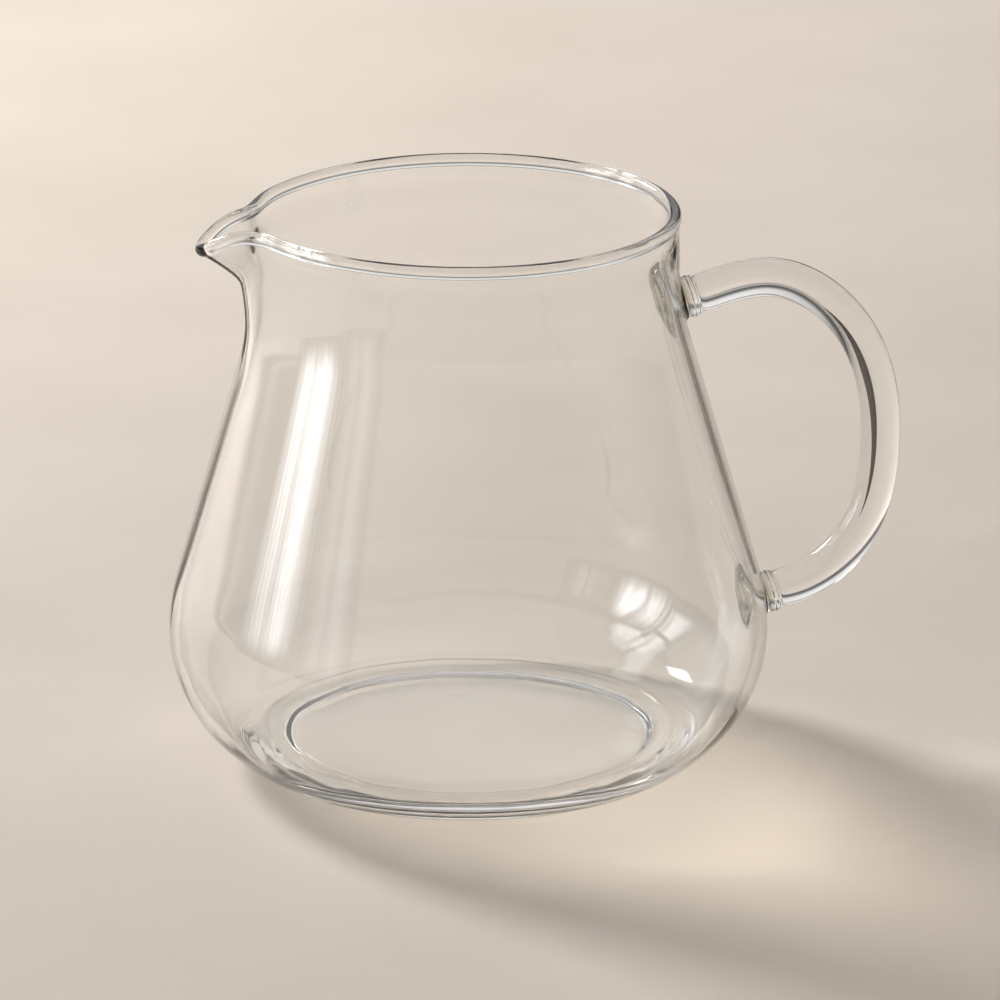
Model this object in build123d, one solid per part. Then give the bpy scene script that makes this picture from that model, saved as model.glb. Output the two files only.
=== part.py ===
from build123d import *
from math import acos, atan2, cos, exp, hypot, radians, sin, sqrt, tan
import os

# Clear glass coffee server: a blown jug with a pulled pouring lip and a solid glass handle.
# The origin is the centre of the base on the table. +Z is up, +X points to the handle, -X to the lip.

# Body, outside
belly_radius = 57.5
belly_upper_radius = 37.0
belly_lower_radius = 27.7
heel_radius = 12.7
base_radius = 37.4
neck_radius = 40.2
rim_height = 107.4
neck_straight = 10.0
shoulder_radius = 48.0

# Glass thickness
wall = 1.9
floor_thickness = 3.4
rim_bead_radius = 1.2

# Standing ring and the raised middle of the base
ring_land = 0.6
punt_height = 1.2
punt_run = 3.2

# Pouring lip
lip_depth = 24.0
lip_tip_reach = 51.0
lip_droop = 4.0
lip_droop_run = 9.0
lip_flare_power = 2.3
lip_angle = 6.9
lip_swell = 1.6
lip_swell_angle = 38.0
lip_root_angle = 36.0
lip_sink = 2.4
rim_blend = 0.5
trim_above = 3.0

# Handle rod and its fused feet
rod_radius = 3.85
foot_radius = 5.9
foot_length = 3.2
foot_bury = 4.0
upper_joint_below_rim = 19.0
upper_joint_tilt = 15.0
lower_joint_height = 28.0
lower_joint_tilt = 15.0
handle_reach = 80.9
handle_back_height = 57.0
crest_reach = 58.8
crest_rise = 3.4
hip_reach = 74.2
hip_drop = 6.0
heel_reach = 74.6
heel_rise = 9.0
rod_lead = 4.0

# Sections of the lip, as shares of the lip's depth below the rim
section_points = 8
section_shares = (1.0, 0.78, 0.56, 0.36, 0.18)

# Heights that follow from the sizes above
neck_foot = rim_height - neck_straight
upper_joint_height = rim_height - upper_joint_below_rim
heel_offset = base_radius - (belly_radius - belly_lower_radius)
belly_height = heel_radius + sqrt((belly_lower_radius - heel_radius) ** 2 - heel_offset**2)


def flank_lean():
    """Lean of the straight flank from the vertical, touching the belly arc and the shoulder arc."""
    across = neck_radius + shoulder_radius - (belly_radius - belly_upper_radius)
    up = neck_foot - belly_height
    touch = (belly_upper_radius + shoulder_radius) / hypot(across, up)
    return atan2(up, across) - acos(touch)


def outer_radius(height):
    """Outside radius of the round body at a height above the belly."""
    lean = flank_lean()
    flank_foot = belly_height + belly_upper_radius * sin(lean)
    flank_head = neck_foot - shoulder_radius * sin(lean)
    if height >= neck_foot:
        return neck_radius
    if height >= flank_head:
        return neck_radius + shoulder_radius - sqrt(shoulder_radius**2 - (neck_foot - height) ** 2)
    if height >= flank_foot:
        head_radius = neck_radius + shoulder_radius * (1 - cos(lean))
        return head_radius + (flank_head - height) * tan(lean)
    centre = belly_radius - belly_upper_radius
    return centre + sqrt(belly_upper_radius**2 - (height - belly_height) ** 2)


def body_solid(inset, foot, heel_start, dip):
    """Round body up to the rim, moved inwards by inset.

    The foot is its outline from the axis to the start of the heel arc, which ends at an angle below the
    level of the belly.
    """
    lean = flank_lean()
    belly = belly_radius - inset
    heel_end = (
        belly_radius - belly_lower_radius + (belly_lower_radius - inset) * cos(dip),
        belly_height - (belly_lower_radius - inset) * sin(dip),
    )
    flank_foot = (
        belly_radius - belly_upper_radius + (belly_upper_radius - inset) * cos(lean),
        belly_height + (belly_upper_radius - inset) * sin(lean),
    )
    flank_head = (
        neck_radius + shoulder_radius - (shoulder_radius + inset) * cos(lean),
        neck_foot - (shoulder_radius + inset) * sin(lean),
    )
    neck = neck_radius - inset
    heel = TangentArc(heel_start, heel_end, tangent=(1, 0))
    lower = TangentArc(heel_end, (belly, belly_height), tangent=heel % 1)
    upper = TangentArc((belly, belly_height), flank_foot, tangent=(0, 1))
    flank = Line(flank_foot, flank_head)
    shoulder = TangentArc(flank_head, (neck, neck_foot), tangent=flank % 1)
    rest = Polyline((neck, neck_foot), (neck, rim_height), (0, rim_height), foot[0] @ 0)
    half = Plane.XZ * make_face(Curve() + foot + [heel, lower, upper, flank, shoulder, rest])
    return revolve(half, Axis.Z)


def round_outside():
    """The round body as if it were full, with its raised base and its standing ring."""
    ring_edge = base_radius - ring_land
    floor_edge = ring_edge - punt_run
    middle = (ring_edge - punt_run / 2, punt_height / 2)
    base = Line((0, punt_height), (floor_edge, punt_height))
    rise_head = TangentArc((floor_edge, punt_height), middle, tangent=(1, 0))
    rise_foot = TangentArc(middle, (ring_edge, 0), tangent=rise_head % 1)
    ring = Line((ring_edge, 0), (base_radius, 0))
    dip = atan2(belly_height - heel_radius, heel_offset)
    return body_solid(0, [base, rise_head, rise_foot, ring], (base_radius, 0), dip)


def round_hollow():
    """The round inside, with a level floor that goes over an arc into the belly."""
    floor_height = punt_height + floor_thickness
    corner = heel_radius - wall
    rise = belly_height - floor_height - corner
    reach = sqrt((belly_lower_radius - heel_radius) ** 2 - rise**2)
    edge = (belly_radius - belly_lower_radius + reach, floor_height)
    floor = Line((0, floor_height), edge)
    return body_solid(wall, [floor], edge, atan2(rise, reach))


def lip_line(forward):
    """Height of the rim's middle, at a distance from the axis towards the lip.

    It is level, and then falls along a parabola to the lip's tip.
    """
    past = max(0.0, forward - lip_tip_reach + lip_droop_run)
    return rim_height - lip_droop * (past / lip_droop_run) ** 2


def lip_bulge(depth, turn):
    """How far the lip's outside stands out from the round neck, at a depth and a turn from -X.

    It fades towards the lip's foot. It is a narrow channel on a wide, low swelling, whose edges sink
    below the neck's surface.
    """
    share = max(0.0, 1 - depth / lip_depth)
    at_tip = lip_tip_reach + wall / 2 - neck_radius
    reach = at_tip * (share / (1 - lip_droop / lip_depth)) ** lip_flare_power
    swell = lip_swell * min(1.0, reach / (2.5 * lip_swell))
    channel = exp(-((turn / radians(lip_angle)) ** 2))
    shoulder = exp(-((turn / radians(lip_swell_angle)) ** 4))
    sunk = lip_sink * (turn / radians(lip_root_angle)) ** 2 + lip_sink * (1 - share) ** 4
    return (reach - swell) * channel + swell * shoulder - sunk


def lip_point(depth, turn, inset):
    """Point of the lip's wall at a depth and a turn from -X, an even inset inside its outside."""
    step = radians(0.05)
    reach = outer_radius(rim_height - depth) + lip_bulge(depth, turn)
    slope = (lip_bulge(depth, turn + step) - lip_bulge(depth, turn - step)) / (2 * step)
    reach -= inset * sqrt(1 + (slope / reach) ** 2)
    return Vector(-reach * cos(turn), reach * sin(turn), rim_height - depth)


def lip_solid(inset):
    """The lip as a filled beak from its foot to just above the rim, moved inwards by inset."""
    root = radians(lip_root_angle)
    sections = []
    for depth in [share * lip_depth for share in section_shares] + [-trim_above]:
        points = []
        for i in range(-section_points, section_points + 1):
            points.append(lip_point(depth, root * (i / section_points) * abs(i / section_points), inset))
        outline = Edge.make_spline(points)
        sections.append(Wire([outline, Edge.make_line(points[-1], points[0])]))
    return Solid.make_loft(sections)


def above_lip():
    """Everything above the rim's middle line."""
    start = lip_tip_reach - lip_droop_run
    end = lip_tip_reach + 3 * wall
    far = 2 * belly_radius
    high = rim_height + 4 * trim_above
    corner = (-start, rim_height)
    low = (-end, lip_line(end))
    droop = Bezier(corner, (-(start + end) / 2, rim_height), low)
    rest = Polyline(low, (-far, low[1]), (-far, high), (far, high), (far, rim_height), corner)
    side = Plane.XZ * make_face(Curve() + [droop, rest])
    return extrude(side, amount=2 * belly_radius, both=True)


def rim_path():
    """Middle of the rim: an arc round the neck, and a curve that leaves it to go round the lip."""
    root = radians(lip_root_angle)
    middle = neck_radius - wall / 2
    points = []
    for i in range(-section_points, section_points + 1):
        turn = root * (i / section_points) * abs(i / section_points)
        reach = middle
        for _ in range(12):
            depth = rim_height - lip_line(reach * cos(turn))
            out = lip_bulge(depth, turn)
            reach = (reach + middle + (out + sqrt(out**2 + rim_blend**2)) / 2) / 2
        points.append(Vector(-reach * cos(turn), reach * sin(turn), rim_height - depth))
    ends = [
        Vector(-middle * cos(root), -middle * sin(root), rim_height),
        Vector(-middle * cos(root), middle * sin(root), rim_height),
    ]
    points[0] = ends[0]
    points[-1] = ends[1]
    back = Edge.make_three_point_arc(ends[1], Vector(middle, 0, rim_height), ends[0])
    lip = Edge.make_spline(points, tangents=[back % 1, back % 0])
    return back, lip


def rim_bead():
    """Rounded bead along the rim and round the lip."""
    back, lip = rim_path()
    ring = Plane(origin=back @ 0, z_dir=back % 0) * Circle(rim_bead_radius)
    end = Plane(origin=lip @ 0, z_dir=lip % 0) * Circle(rim_bead_radius)
    return sweep(ring, path=back) + sweep(end, path=lip, is_frenet=True)


def make_vessel():
    """The blown jug: one glass wall, from the standing ring to the beaded rim and lip."""
    glass = round_outside() + lip_solid(0) - round_hollow() - lip_solid(wall) - above_lip()
    return glass + rim_bead()


def joint_axis(height, tilt):
    """Where a handle foot meets the wall, and the direction that the rod leaves in."""
    point = Vector(outer_radius(height), 0, height)
    way = Vector(cos(radians(tilt)), 0, sin(radians(tilt)))
    return point, way


def handle_foot(height, tilt):
    """Flared foot where the hot rod was pressed on the wall: a cove from the wall to the rod."""
    point, way = joint_axis(height, tilt)
    buried = Line((-foot_bury, 0), (-foot_bury, foot_radius))
    side = Line((-foot_bury, foot_radius), (0, foot_radius))
    cove = TangentArc((foot_length, rod_radius), (0, foot_radius), tangent=(-1, 0))
    end = Line((foot_length, rod_radius), (foot_length, 0))
    middle = Line((foot_length, 0), (-foot_bury, 0))
    half = make_face(Curve() + [buried, side, cove, end, middle])
    turned = revolve(half, Axis.X)
    place = Plane(origin=point, x_dir=way, z_dir=Vector(0, 1, 0))
    return place * turned - round_outside()


def make_upper_foot():
    """Fused foot at the neck."""
    return handle_foot(upper_joint_height, upper_joint_tilt)


def make_lower_foot():
    """Fused foot at the belly."""
    return handle_foot(lower_joint_height, lower_joint_tilt)


def make_handle_rod():
    """Solid bent rod between the two feet, round all along."""
    top, top_way = joint_axis(upper_joint_height, upper_joint_tilt)
    low, low_way = joint_axis(lower_joint_height, lower_joint_tilt)
    start = top + top_way * foot_length
    end = low + low_way * foot_length
    points = [
        start,
        start + top_way * rod_lead,
        Vector(crest_reach, 0, upper_joint_height + crest_rise),
        Vector(hip_reach, 0, upper_joint_height - hip_drop),
        Vector(handle_reach, 0, handle_back_height),
        Vector(heel_reach, 0, lower_joint_height + heel_rise),
        end + low_way * rod_lead,
        end,
    ]
    path = Spline(*points, tangents=[top_way, low_way * -1], tangent_scalars=[1.0, 1.0])
    ring = Plane(origin=start, z_dir=top_way) * Circle(rod_radius)
    return sweep(ring, path=path)


def write(shape, name):
    """Write one node's solid."""
    export_step(shape, os.path.join("parts", name + ".step"))


def main():
    """Build every piece of the coffee server."""
    os.makedirs("parts", exist_ok=True)
    write(make_vessel(), "vessel")
    write(make_handle_rod(), "handle_rod")
    write(make_upper_foot(), "upper_handle_foot")
    write(make_lower_foot(), "lower_handle_foot")


main()
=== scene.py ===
import logging
import math
from collections.abc import Sequence
from dataclasses import dataclass, field
from enum import Enum

import bpy
import numpy as np
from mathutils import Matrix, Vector


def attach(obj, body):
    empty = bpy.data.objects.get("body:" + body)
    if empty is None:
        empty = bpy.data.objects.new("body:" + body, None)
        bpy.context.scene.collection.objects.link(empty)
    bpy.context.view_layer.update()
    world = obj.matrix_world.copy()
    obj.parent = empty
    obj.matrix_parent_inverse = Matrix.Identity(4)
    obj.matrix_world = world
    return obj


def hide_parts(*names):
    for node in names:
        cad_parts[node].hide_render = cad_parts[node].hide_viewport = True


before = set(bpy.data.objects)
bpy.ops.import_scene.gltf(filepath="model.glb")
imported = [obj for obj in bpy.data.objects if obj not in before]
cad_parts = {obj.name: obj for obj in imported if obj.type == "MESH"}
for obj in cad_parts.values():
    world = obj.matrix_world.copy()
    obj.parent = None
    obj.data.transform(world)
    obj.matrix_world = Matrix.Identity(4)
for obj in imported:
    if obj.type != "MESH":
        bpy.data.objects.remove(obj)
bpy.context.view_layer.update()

LOG = logging.getLogger("coffee_server")
MM = 0.001

Socket = bpy.types.NodeSocket
Span = tuple[float, float]
Triple = tuple[float, float, float]
Colour = tuple[float, float, float]


class Slot(Enum):
    """Names of two material slots of the record; no piece here takes its finish from them."""

    VESSEL = "vessel_glass"
    ROD = "rod_glass"


class Face(Enum):
    """Which material of a piece a face takes."""

    GLASS = 0
    FUSED = 1


def ease(start: float, end: float, value: np.ndarray) -> np.ndarray:
    """Smooth step 3 t^2 - 2 t^3, where t is the value's share of the way from start to end."""
    share = np.clip((np.asarray(value, float) - start) / (end - start), 0.0, 1.0)
    return share * share * (3.0 - 2.0 * share)


def unit(vectors: np.ndarray) -> np.ndarray:
    """The vectors divided by their lengths."""
    return vectors / np.maximum(np.linalg.norm(vectors, axis=-1, keepdims=True), 1e-12)


def arc(centre: Span, radius: float, start: float, end: float, count: int) -> np.ndarray:
    """Points centre + radius (cos t, sin t), with count angles t that are even from start to end."""
    turn = np.linspace(start, end, count)
    return np.stack([centre[0] + radius * np.cos(turn), centre[1] + radius * np.sin(turn)], axis=1)


def turned(profile: np.ndarray, azimuth: np.ndarray) -> np.ndarray:
    """Rings of a profile that is turned round the axis.

    Args:
        profile: Array of (radius, height) points.
        azimuth: Angles of the columns.

    Returns:
        Rows of points (r cos a, r sin a, z).
    """
    radius, height = profile[:, :1], profile[:, 1:]
    around = (radius * np.cos(azimuth), radius * np.sin(azimuth), height + 0.0 * azimuth)
    return np.stack(around, axis=-1)


@dataclass(frozen=True)
class JugSizes:
    """Sizes of the jug in millimetres, with its axis on Z and its base at 0.

    The last five fields are numbers of points along the parts of the base's outlines.
    """

    belly_radius: float = 57.5
    belly_upper_radius: float = 37.0
    belly_lower_radius: float = 27.7
    heel_radius: float = 12.7
    base_radius: float = 37.4
    neck_radius: float = 40.2
    rim_height: float = 107.4
    neck_straight: float = 10.0
    shoulder_radius: float = 48.0
    wall: float = 1.9
    floor_thickness: float = 3.4
    lip_wall: float = 1.6
    bead_radius: float = 1.2
    bead_cove: float = 0.4
    cove_fade: Span = (1.5, 4.5)
    lip_wall_run: Span = (2.5, 9.5)
    ring_land: float = 0.6
    punt_height: float = 1.2
    punt_run: float = 3.2
    ridge_height: float = 0.3
    ridge_run: float = 4.2
    level_points: int = 4
    ridge_points: int = 10
    bend_points: int = 7
    heel_points: int = 15
    belly_points: int = 16

    @property
    def neck_foot(self) -> float:
        """Height where the straight neck starts."""
        return self.rim_height - self.neck_straight

    @property
    def belly_centre(self) -> float:
        """Distance from the axis to the centre of the upper belly arc."""
        return self.belly_radius - self.belly_upper_radius

    @property
    def lower_centre(self) -> float:
        """Distance from the axis to the centre of the lower belly arc."""
        return self.belly_radius - self.belly_lower_radius

    @property
    def belly_height(self) -> float:
        """Height of the widest ring, where the two belly arcs meet."""
        reach = self.base_radius - self.lower_centre
        return self.heel_radius + math.sqrt((self.belly_lower_radius - self.heel_radius) ** 2 - reach**2)

    @property
    def heel_dip(self) -> float:
        """Angle below the level at which the heel arc meets the lower belly arc."""
        return math.atan2(self.belly_height - self.heel_radius, self.base_radius - self.lower_centre)

    @property
    def flank_lean(self) -> float:
        """Lean of the straight flank from the vertical, where it touches the belly and shoulder arcs.

        Returns:
            atan(up / across) - acos(sum of the radii / distance of the centres), in radians.
        """
        across = self.neck_radius + self.shoulder_radius - self.belly_centre
        up = self.neck_foot - self.belly_height
        touch = (self.belly_upper_radius + self.shoulder_radius) / math.hypot(across, up)
        return math.atan2(up, across) - math.acos(touch)

    def round_radius(self, height: np.ndarray, inset: float) -> np.ndarray:
        """Radius of the round body above the belly.

        Args:
            height: Heights above the table.
            inset: Distance inwards from the outside surface.

        Returns:
            Radii along the belly arc, the straight flank, the shoulder arc and the straight neck.
        """
        lean = self.flank_lean
        belly = self.belly_upper_radius - inset
        shoulder = self.shoulder_radius + inset
        flank_foot = self.belly_height + belly * math.sin(lean)
        flank_head = self.neck_foot - shoulder * math.sin(lean)
        head_radius = self.neck_radius + self.shoulder_radius - shoulder * math.cos(lean)
        above = height - self.belly_height
        on_belly = self.belly_centre + np.sqrt(np.maximum(belly**2 - above**2, 0.0))
        on_flank = head_radius + (flank_head - height) * math.tan(lean)
        below = np.minimum(self.neck_foot - height, shoulder)
        on_shoulder = self.neck_radius + self.shoulder_radius - np.sqrt(shoulder**2 - below**2)
        return np.select(
            [height >= self.neck_foot, height >= flank_head, height >= flank_foot],
            [self.neck_radius - inset + 0.0 * height, on_shoulder, on_flank],
            on_belly,
        )

    def level_line(self, reach: float, height: float) -> np.ndarray:
        """Points (radius, height) of a level line from the axis to a reach."""
        shares = np.linspace(0.0, 1.0, self.level_points)
        return np.stack([reach * shares, np.full(self.level_points, height)], axis=1)

    def outer_foot(self) -> np.ndarray:
        """Profile of the outside from the middle of the raised base to the widest ring.

        The base is level, falls to the standing ring along two tangent arcs, and goes over the heel arc
        into the lower belly arc.

        Returns:
            Array of (radius, height) points.
        """
        edge = self.base_radius - self.ring_land
        start = edge - self.punt_run
        half_run = self.punt_run / 2
        half_fall = self.punt_height / 2
        bend = (half_run**2 + half_fall**2) / (2 * half_fall)
        swing = 2 * math.atan2(half_fall, half_run)
        down, dip = -math.pi / 2, self.heel_dip
        level = self.level_line(start, self.punt_height)
        head = arc((start, self.punt_height - bend), bend, -down, -down - swing, self.bend_points)
        foot = arc((edge, bend), bend, down - swing, down, self.bend_points)
        heel_centre = (self.base_radius, self.heel_radius)
        heel = arc(heel_centre, self.heel_radius, down, -dip, self.heel_points)
        belly_centre = (self.lower_centre, self.belly_height)
        lower = arc(belly_centre, self.belly_lower_radius, -dip, 0.0, self.belly_points)
        return np.concatenate([level, head[1:], foot[1:], heel, lower[1:-1]])

    def inner_foot(self) -> np.ndarray:
        """Profile of the inside from the middle of the floor to the widest ring.

        The floor is level, has a low ridge at its edge in the form of sin^2, and goes over an arc into
        the inside of the lower belly arc.

        Returns:
            Array of (radius, height) points.
        """
        floor = self.punt_height + self.floor_thickness
        belly = self.belly_lower_radius - self.wall
        corner = self.heel_radius - self.wall
        rise = self.belly_height - floor - corner
        reach = math.sqrt((belly - corner) ** 2 - rise**2)
        edge = self.lower_centre + reach
        dip = math.atan2(rise, reach)
        level = self.level_line(edge - self.ridge_run, floor)
        share = np.linspace(0.0, 1.0, self.ridge_points + 1)[1:]
        lift = self.ridge_height * np.sin(math.pi * share) ** 2
        ridge = np.stack([edge - self.ridge_run * (1.0 - share), floor + lift], axis=1)
        heel = arc((edge, floor + corner), corner, -math.pi / 2, -dip, self.heel_points)
        lower = arc((self.lower_centre, self.belly_height), belly, -dip, 0.0, self.belly_points)
        return np.concatenate([level, ridge, heel[1:], lower[1:-1]])


@dataclass(frozen=True)
class LipShape:
    """The pulled pouring lip, on the -X side, in millimetres, with its angles in degrees."""

    tip_reach: float = 51.0
    droop: float = 4.0
    droop_run: float = 9.0
    depth: float = 34.0
    flare_depth: float = 9.54
    flare_slope: float = 1.39
    flare_blend: float = 0.83
    flare_angle: float = 5.23
    flare_power: float = 1.232
    flare_round: float = 2.0
    fold: float = 2.73
    fold_start: float = 8.0
    fold_angle: float = 9.28
    swell: float = 1.44
    swell_depth: float = 22.0
    swell_angle: float = 40.0

    def line(self, forward: np.ndarray, rim_height: float) -> np.ndarray:
        """Height of the rim's middle: level, and then a parabola, rim_height - droop (past / droop_run)^2."""
        past = np.maximum(0.0, forward - self.tip_reach + self.droop_run)
        return rim_height - self.droop * (past / self.droop_run) ** 2

    def bulge(self, depth: np.ndarray, turn: np.ndarray) -> np.ndarray:
        """How far the wall's middle stands out from the round neck.

        It is a narrow flare near the rim, plus a fold that runs further down, plus a wide low swell. The
        flare is a soft ramp in depth, times exp(-|turn|^power) with a rounded peak.

        Args:
            depth: Depths below the level rim.
            turn: Turns from -X, in radians.

        Returns:
            Distances outwards.
        """
        degrees = np.degrees(turn)
        ramp = np.logaddexp(0.0, (self.flare_depth - depth) / self.flare_blend)
        flare = self.flare_slope * self.flare_blend * ramp
        sharp = (degrees**2 + self.flare_round**2) ** (self.flare_power / 2)
        sharp = sharp - self.flare_round**self.flare_power
        channel = np.exp(-sharp / self.flare_angle**self.flare_power)
        fold = self.fold * (1.0 - ease(self.fold_start, self.depth, depth))
        swell = self.swell * (1.0 - ease(0.0, self.swell_depth, depth))
        return (
            flare * channel
            + fold * np.exp(-((degrees / self.fold_angle) ** 2))
            + swell * np.exp(-((degrees / self.swell_angle) ** 4))
        )


@dataclass(frozen=True)
class WallShape:
    """Middle surface of the jug's wall, from the widest ring up to the rim."""

    jug: JugSizes
    lip: LipShape
    slope_turn: float = 1e-4
    slope_rise: float = 0.01
    halvings: int = 40

    def middle(self, azimuth: np.ndarray, height: np.ndarray) -> np.ndarray:
        """Points of the wall's middle surface.

        Args:
            azimuth: Angles round the axis from +X, in radians.
            height: Heights above the table, of the same shape.

        Returns:
            Array of points (r cos a, r sin a, z), where r is the round radius plus the lip's bulge.
        """
        turn = np.angle(np.exp(1j * (azimuth - math.pi)))
        reach = self.jug.round_radius(height, self.jug.wall / 2)
        reach = reach + self.lip.bulge(self.jug.rim_height - height, turn)
        return np.stack([reach * np.cos(azimuth), reach * np.sin(azimuth), height], axis=-1)

    def normal(self, azimuth: np.ndarray, height: np.ndarray) -> np.ndarray:
        """Outward normals of the middle surface.

        Args:
            azimuth: Angles round the axis from +X, in radians.
            height: Heights above the table, of the same shape.

        Returns:
            Unit vectors along the cross product of the slopes round the jug and upwards.
        """
        turn, rise = self.slope_turn, self.slope_rise
        across = self.middle(azimuth + turn, height) - self.middle(azimuth - turn, height)
        up = self.middle(azimuth, height + rise) - self.middle(azimuth, height - rise)
        return unit(np.cross(unit(across), unit(up)))

    def rim(self, azimuth: np.ndarray) -> np.ndarray:
        """Heights of the rim's middle, where the surface meets the lip's line.

        Args:
            azimuth: Angles round the axis from +X, in radians.

        Returns:
            Heights, found by halving the range that holds them.
        """
        low = np.full_like(azimuth, self.jug.rim_height - 2.0 * self.lip.droop)
        high = np.full_like(azimuth, self.jug.rim_height)
        for _ in range(self.halvings):
            height = (low + high) / 2
            forward = -self.middle(azimuth, height)[..., 0]
            above = height > self.lip.line(forward, self.jug.rim_height)
            high = np.where(above, height, high)
            low = np.where(above, low, height)
        return (low + high) / 2


@dataclass(frozen=True)
class OuterProfile:
    """Outline of the round body's outside, as a function of the length along it."""

    jug: JugSizes
    steps: int = 6000
    low_steps: int = 1500
    dip: float = 0.5

    def dense(self) -> tuple[np.ndarray, np.ndarray]:
        """Points close together, from a little below the widest ring, by the angle dip, to the rim.

        Returns:
            Lengths along the outline, and the (radius, height) points.
        """
        centre = (self.jug.lower_centre, self.jug.belly_height)
        under = arc(centre, self.jug.belly_lower_radius, -self.dip, 0.0, self.low_steps)[:-1]
        height = np.linspace(self.jug.belly_height, self.jug.rim_height, self.steps)
        above = np.stack([self.jug.round_radius(height, 0.0), height], axis=1)
        points = np.concatenate([under, above])
        run = np.linalg.norm(np.diff(points, axis=0), axis=1)
        return np.concatenate([[0.0], np.cumsum(run)]), points

    def length_at(self, height: np.ndarray) -> np.ndarray:
        """Length along the outline at a height."""
        length, points = self.dense()
        return np.interp(height, points[:, 1], length)

    def at(self, length: np.ndarray) -> tuple[np.ndarray, np.ndarray]:
        """Radius and height at a length along the outline."""
        known, points = self.dense()
        return np.interp(length, known, points[:, 0]), np.interp(length, known, points[:, 1])


@dataclass(frozen=True)
class JointSizes:
    """Where a foot of the handle is fused to the wall, in millimetres."""

    name: str
    height: float
    tilt: float
    flare: float = 5.5
    collar: float = 3.9
    cove: float = 1.15
    bulge: float = 0.16
    length: float = 3.0
    groove: float = 0.5
    coils: int = 2
    coil_height: float = 0.07
    dimple: float = 1.9
    dimple_reach: float = 5.2
    disc_rings: int = 5

    @property
    def seam_radius(self) -> float:
        """Radius of the seam with the rod."""
        return self.collar - self.groove

    @property
    def seam_length(self) -> float:
        """Distance from the wall to the seam with the rod."""
        return self.length + self.groove

    def axis(self, profile: OuterProfile) -> tuple[np.ndarray, np.ndarray, np.ndarray]:
        """Where the rod leaves the wall, and how.

        Args:
            profile: Outline of the wall.

        Returns:
            Point on the wall, direction that the rod leaves in, and the direction square to it upwards.
        """
        radius, height = profile.at(profile.length_at(np.array(self.height)))
        tilt = math.radians(self.tilt)
        way = np.array([math.cos(tilt), 0.0, math.sin(tilt)])
        above = np.array([-math.sin(tilt), 0.0, math.cos(tilt)])
        return np.array([float(radius), 0.0, float(height)]), way, above

    def on_wall(self, profile: OuterProfile, across: np.ndarray, along: np.ndarray) -> np.ndarray:
        """Points of the outside wall round the joint.

        Args:
            profile: Outline of the wall.
            across: Distances sideways, measured round the jug.
            along: Distances upwards, measured along the outline.

        Returns:
            Array of points (r cos a, r sin a, z), where a = across / radius at the joint.
        """
        centre = profile.length_at(np.array(self.height))
        radius, height = profile.at(centre + along)
        turn = across / profile.at(centre)[0]
        return np.stack([radius * np.cos(turn), radius * np.sin(turn), height], axis=-1)

    def disc(self, profile: OuterProfile, turns: np.ndarray) -> np.ndarray:
        """Rings of the footprint on the wall: circles of even steps up to the flare, without the middle."""
        reach = self.flare * np.linspace(0.0, 1.0, self.disc_rings + 1)[1:, None]
        return self.on_wall(profile, reach * np.cos(turns), reach * np.sin(turns))


@dataclass
class MeshParts:
    """Vertices, faces and face kinds that are gathered for one mesh."""

    points: list[np.ndarray] = field(default_factory=list)
    faces: list[np.ndarray] = field(default_factory=list)
    kinds: list[np.ndarray] = field(default_factory=list)
    count: int = 0

    def add(self, points: np.ndarray) -> int:
        """Add vertices.

        Args:
            points: Their places, with the three coordinates last.

        Returns:
            Index of the first.
        """
        first = self.count
        self.points.append(points.reshape(-1, 3))
        self.count += len(self.points[-1])
        return first

    def join(self, faces: np.ndarray, kind: Face = Face.GLASS) -> None:
        """Add faces of one kind.

        Args:
            faces: Their vertices, three or four in a row, in any number of rows and columns of faces.
            kind: What the faces are made of.
        """
        faces = faces.reshape(-1, faces.shape[-1])
        self.faces.append(faces)
        self.kinds.append(np.full(len(faces), kind.value))

    def mesh(self, name: str, sharp: bool = False) -> bpy.types.Mesh:
        """Make the mesh in metres, without the vertices that no face uses.

        Args:
            name: Name of the mesh.
            sharp: True if the edges between two kinds of face are sharp.

        Returns:
            The new mesh, with smooth faces.
        """
        mesh = bpy.data.meshes.new(name)
        used, corners = np.unique(np.concatenate([f.ravel() for f in self.faces]), return_inverse=True)
        points = np.concatenate(self.points)[used] * MM
        sizes = np.concatenate([np.full(len(f), f.shape[1]) for f in self.faces])
        mesh.vertices.add(len(points))
        mesh.vertices.foreach_set("co", points.astype(np.float32).ravel())
        mesh.loops.add(len(corners))
        mesh.loops.foreach_set("vertex_index", corners.astype(np.int32))
        mesh.polygons.add(len(sizes))
        starts = np.concatenate([[0], np.cumsum(sizes)[:-1]])
        mesh.polygons.foreach_set("loop_start", starts.astype(np.int32))
        mesh.polygons.foreach_set("material_index", np.concatenate(self.kinds).astype(np.int32))
        mesh.polygons.foreach_set("use_smooth", np.ones(len(sizes), bool))
        mesh.update(calc_edges=True)
        if sharp:
            kinds = np.repeat(np.concatenate(self.kinds), sizes)
            edges = np.zeros(len(corners), np.int32)
            mesh.loops.foreach_get("edge_index", edges)
            total = np.zeros(len(mesh.edges))
            np.add.at(total, edges, kinds)
            mesh.edges.foreach_set("use_edge_sharp", total == Face.FUSED.value)
        mesh.validate()
        return mesh


def grid_faces(first: int, rows: int, columns: int, closed: bool) -> np.ndarray:
    """Faces of a grid of vertices.

    Args:
        first: Index of the grid's first vertex.
        rows: Number of rows.
        columns: Number of columns.
        closed: True if the last column joins the first.

    Returns:
        Array of shape (rows - 1, columns or columns - 1, 4): each vertex with its neighbours in the next
        column and the next row.
    """
    row = np.arange(rows - 1)[:, None] * columns
    here = np.arange(columns if closed else columns - 1)[None, :]
    after = (here + 1) % columns
    return first + np.stack([row + here, row + after, row + columns + after, row + columns + here], axis=-1)


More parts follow.
